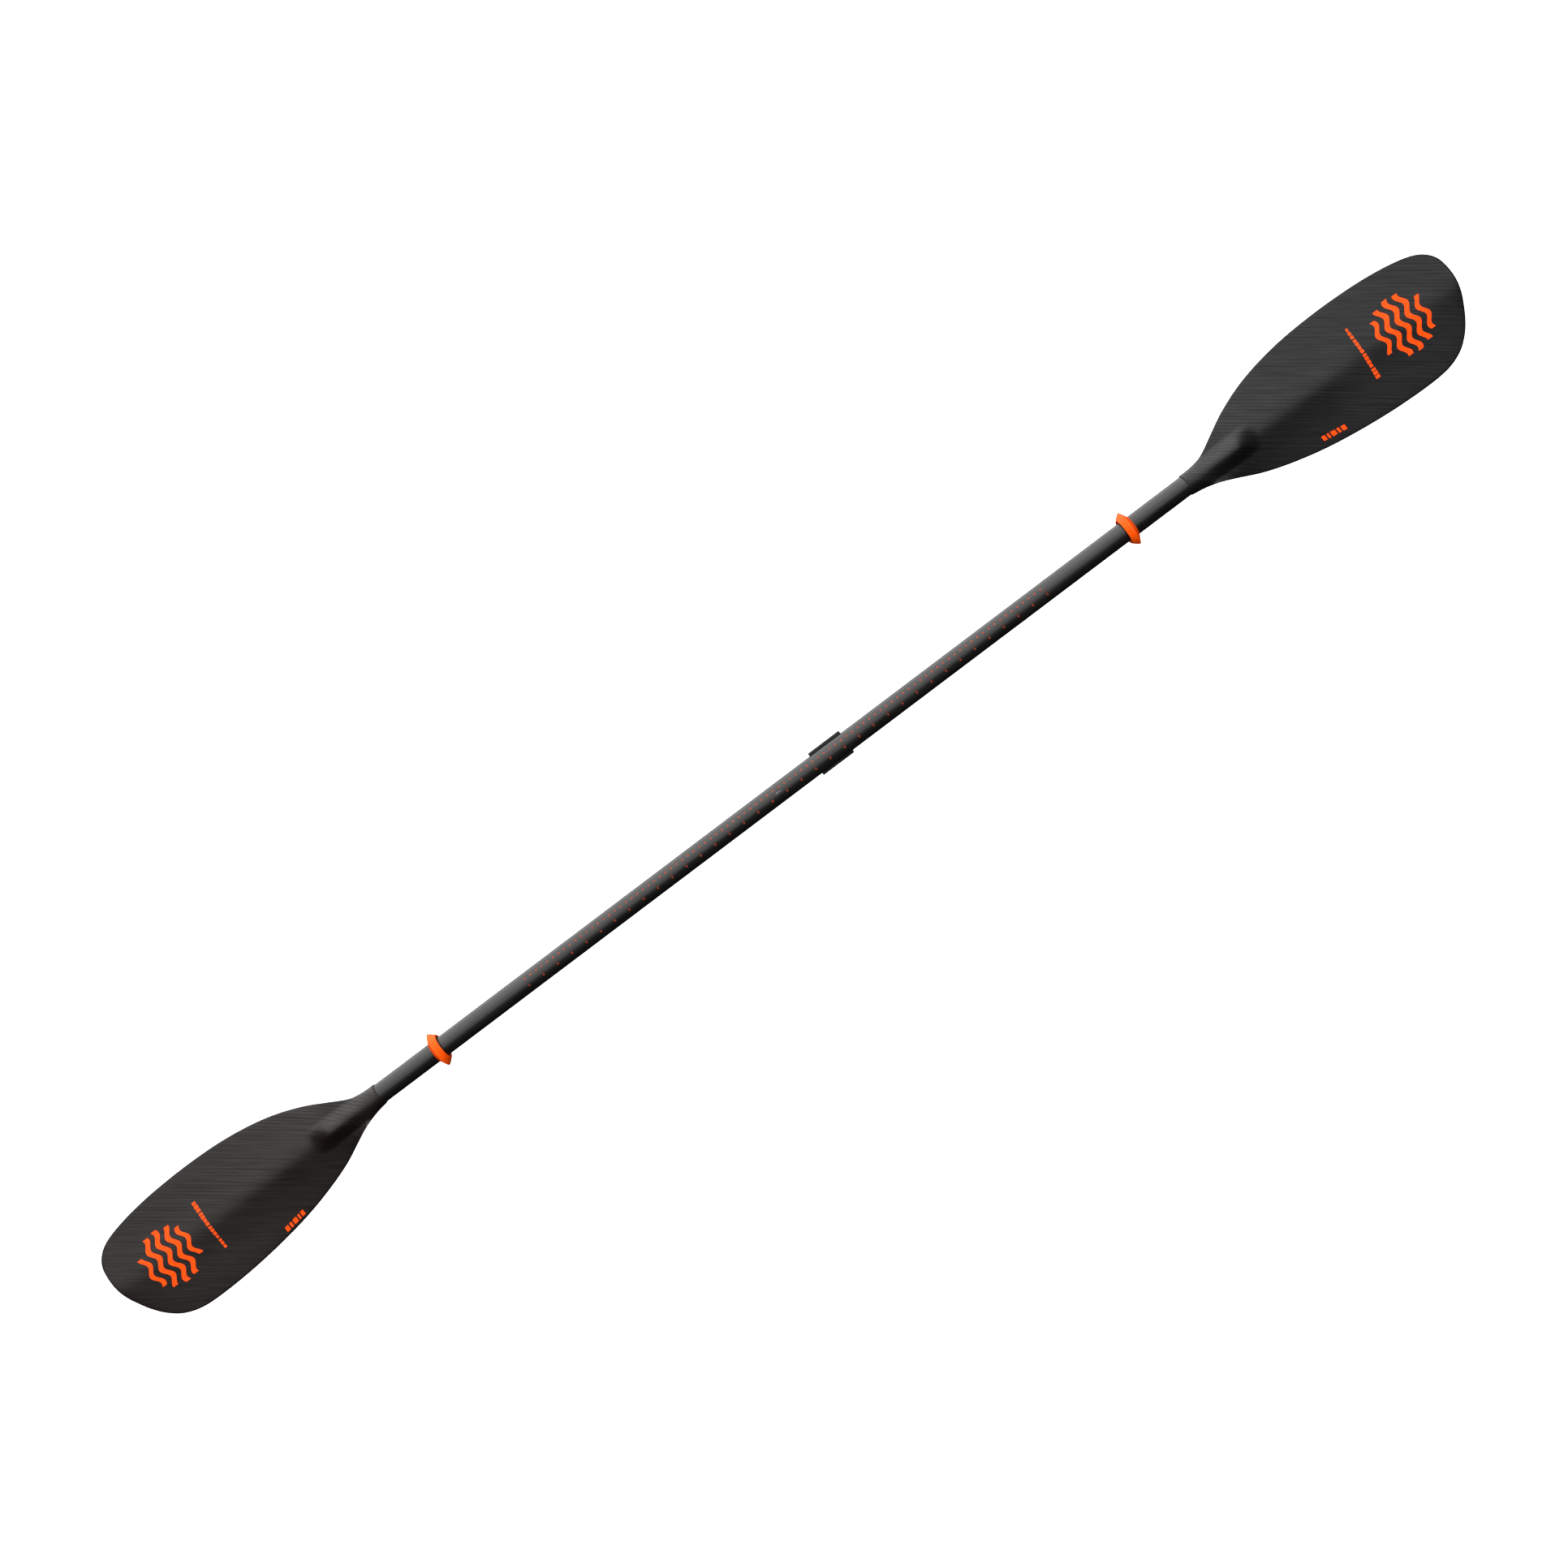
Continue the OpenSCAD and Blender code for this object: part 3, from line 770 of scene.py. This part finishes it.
def add_ferrule_scale():
    """Length marks on the ferrule tube, seen when the joint is drawn out."""
    radius = FERRULE_R / MM
    bm = bmesh.new()
    for k in range(1, 21):
        tall = 6.0 if k % 5 == 0 else 3.0
        add_tick(bm, radius, 10.0 * k, 0.0, 0.4, tall / 2, thickness=0.02)
    bmesh.ops.recalc_face_normals(bm, faces=bm.faces)
    marks = finish_mesh(bm, "ferrule_scale", 30, [MATERIALS["print"]])
    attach(marks, "left_half")


# ---------------------------------------------------------------- drip rings

# reach of a ring from its own zero, towards the blade and towards the joint, in millimetres
RING_OUT = 6.2
RING_IN = 9.3
# the printed marks stand 0.06 above the shaft, and the ring slides over them
RING_GAP = 0.14
RING_FLARE = 1.15


def ring_profile():
    """Section of a drip ring as (distance towards the blade, radius) in millimetres, a closed line."""
    edge, out, into = RING_RIM / MM - 0.05, RING_OUT, RING_IN
    bore = SHAFT_R / MM + RING_GAP
    low, cup = bore + 1.0, 19.5
    steps = 20
    line = [(out - 0.2, bore), (out, bore + 0.35)]
    for k in range(steps + 1):
        t = k / steps
        r = low + (edge - low) * (1 - (1 - t) ** RING_FLARE)
        line.append((out * (1 - t) - 0.15 * math.sin(math.pi * t), r))
    for k in range(steps - 1, -1, -1):
        t = k / steps
        line.append((-into * (1 - t), cup + (edge - cup) * (1 - (1 - t) ** RING_FLARE)))
    line += [(-into, cup - 0.4), (-into + 0.25, cup - 1.1), (-into + 2.5, cup - 1.9)]
    line += [(-into + 5.0, cup - 2.5), (-into + 5.8, cup - 3.0), (-into + 6.0, bore + 0.9)]
    line += [(-into + 6.15, bore + 0.2), (-into + 6.4, bore)]
    return line


def add_rings():
    steps = 128
    profile = ring_profile()
    count = len(profile)
    for side_name, side in SIDES.items():
        outer = max(abs(corner.x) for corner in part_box(side_name + "_drip_ring"))
        ring_x = outer - RING_OUT * MM
        bm = bmesh.new()
        loops = []
        for k in range(steps):
            t = 2 * math.pi * k / steps
            loops.append([
                bm.verts.new((side * (ring_x + x * MM), r * math.sin(t) * MM, r * math.cos(t) * MM))
                for x, r in profile
            ])
        for k in range(steps):
            a, b = loops[k], loops[(k + 1) % steps]
            for j in range(count):
                i = (j + 1) % count
                bm.faces.new((a[j], b[j], b[i], a[i]))
        bmesh.ops.recalc_face_normals(bm, faces=bm.faces)
        ring = finish_mesh(bm, side_name + "_ring_body", 50, [MATERIALS["ring"]])
        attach(ring, side_name + "_ring")
        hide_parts(side_name + "_drip_ring")


# ---------------------------------------------------------------- clamp

# angle in degrees above which an edge is rounded
CREASE = 35


def rounded_copy(node, name, body, look, width):
    """A copy of a CAD node with its edges rounded, shown in place of the node."""
    bm = bmesh.new()
    bm.from_mesh(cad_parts[node].data)
    bmesh.ops.remove_doubles(bm, verts=bm.verts, dist=1e-6)
    bmesh.ops.dissolve_limit(bm, angle_limit=math.radians(1.0), verts=bm.verts, edges=bm.edges)
    obj = finish_mesh(bm, name, CREASE, [MATERIALS[look]])
    bevel = obj.modifiers.new("rounding", "BEVEL")
    bevel.width = width
    bevel.segments = 3
    bevel.limit_method = "ANGLE"
    bevel.angle_limit = math.radians(CREASE)
    bevel.harden_normals = False
    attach(obj, body)
    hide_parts(node)


def add_clamp():
    rounded_copy("clamp_housing", "housing_body", "right_half", "clamp", 0.45 * MM)
    rounded_copy("clamp_lever", "lever_body", "lever", "clamp", 0.4 * MM)


# ---------------------------------------------------------------- floor, light, camera

# the photo's view: turn of the paddle in the picture, roll about the shaft, distance in metres, lean, lens
PHOTO_TURN = math.radians(37.04)
ROLL = Matrix.Rotation(math.radians(-4.0), 4, "X")
CAMERA_FAR = 2.8
CAMERA_LEAN = math.radians(1.63)
FIELD = math.radians(43.25)
SHIFT = (0.0025, 0.0050)
FLOOR_SIZE = 60
FLOOR_Z = -0.45
# strength of the surroundings, as light on the paddle and as seen by the camera
WORLD_LIGHT = 0.015
WORLD_SEEN = 0.95


def add_floor():
    bpy.ops.mesh.primitive_plane_add(size=FLOOR_SIZE, location=(0, 0, FLOOR_Z))
    floor = bpy.context.object
    floor.name = "floor"
    floor.data.materials.append(floor_material("floor"))
    floor.visible_glossy = False
    floor.visible_diffuse = False
    floor.visible_shadow = False


def add_area(name, where, aim, size, power, shine=True):
    """Rectangular lamp; without shine it lights matt colours and adds no highlight."""
    data = bpy.data.lights.new(name, "AREA")
    data.shape = "RECTANGLE"
    data.size, data.size_y = size
    data.energy = power
    lamp = bpy.data.objects.new(name, data)
    turn = (Vector(aim) - Vector(where)).to_track_quat("-Z", "Y").to_matrix().to_4x4()
    lamp.matrix_world = ROLL @ Matrix.Translation(where) @ turn
    lamp.visible_camera = False
    lamp.visible_glossy = shine
    bpy.context.scene.collection.objects.link(lamp)


def add_light():
    add_area("overhead", (0, 0.10, 2.4), (0, 0.10, 0), (4.6, 1.5), 38)
    add_area("upper_front", (0, 1.75, 2.15), (0, 0, 0), (4.6, 1.9), 72)
    add_area("upper_side", (0, 2.75, 0.45), (0, 0, 0.45), (4.6, 3.4), 150)
    add_area("lower_side", (0, 2.3, -1.75), (0, 0, 0), (4.6, 1.7), 60)
    add_area("fill_upper", (0, 2.2, 1.6), (0, 0, 0), (4.6, 1.2), 60, False)
    add_area("fill_lower", (0, -1.5, 2.2), (0, 0, 0), (4.6, 1.2), 30, False)
    world = bpy.data.worlds.new("studio")
    world.use_nodes = True
    tree = world.node_tree
    back = tree.nodes["Background"]
    back.inputs["Color"].default_value = (1, 1, 1, 1)
    path = tree.nodes.new("ShaderNodeLightPath")
    seen = tree.nodes.new("ShaderNodeMapRange")
    seen.inputs["To Min"].default_value = WORLD_LIGHT
    seen.inputs["To Max"].default_value = WORLD_SEEN
    tree.links.new(path.outputs["Is Camera Ray"], seen.inputs["Value"])
    tree.links.new(seen.outputs[0], back.inputs["Strength"])
    bpy.context.scene.world = world


def add_camera():
    data = bpy.data.cameras.new("camera")
    data.sensor_fit = "HORIZONTAL"
    data.angle = FIELD
    data.shift_x, data.shift_y = SHIFT
    data.clip_end = 100
    camera = bpy.data.objects.new("camera", data)
    back = Vector((math.sin(CAMERA_LEAN), 0, math.cos(CAMERA_LEAN)))
    flat_x = Vector((math.cos(CAMERA_LEAN), 0, -math.sin(CAMERA_LEAN)))
    right = math.cos(PHOTO_TURN) * flat_x - math.sin(PHOTO_TURN) * Vector((0, 1, 0))
    up = back.cross(right)
    turn = Matrix((right, up, back)).transposed().to_4x4()
    camera.matrix_world = ROLL @ Matrix.Translation(CAMERA_FAR * back) @ turn
    bpy.context.scene.collection.objects.link(camera)
    bpy.context.scene.camera = camera


def set_view():
    bpy.context.scene.view_settings.view_transform = "Standard"
    bpy.context.scene.view_settings.look = "None"


dress_nodes()
add_blades()
add_blade_marks()
add_scale()
add_index_marks()
add_ferrule_scale()
add_rings()
add_clamp()
add_floor()
add_light()
add_camera()
set_view()
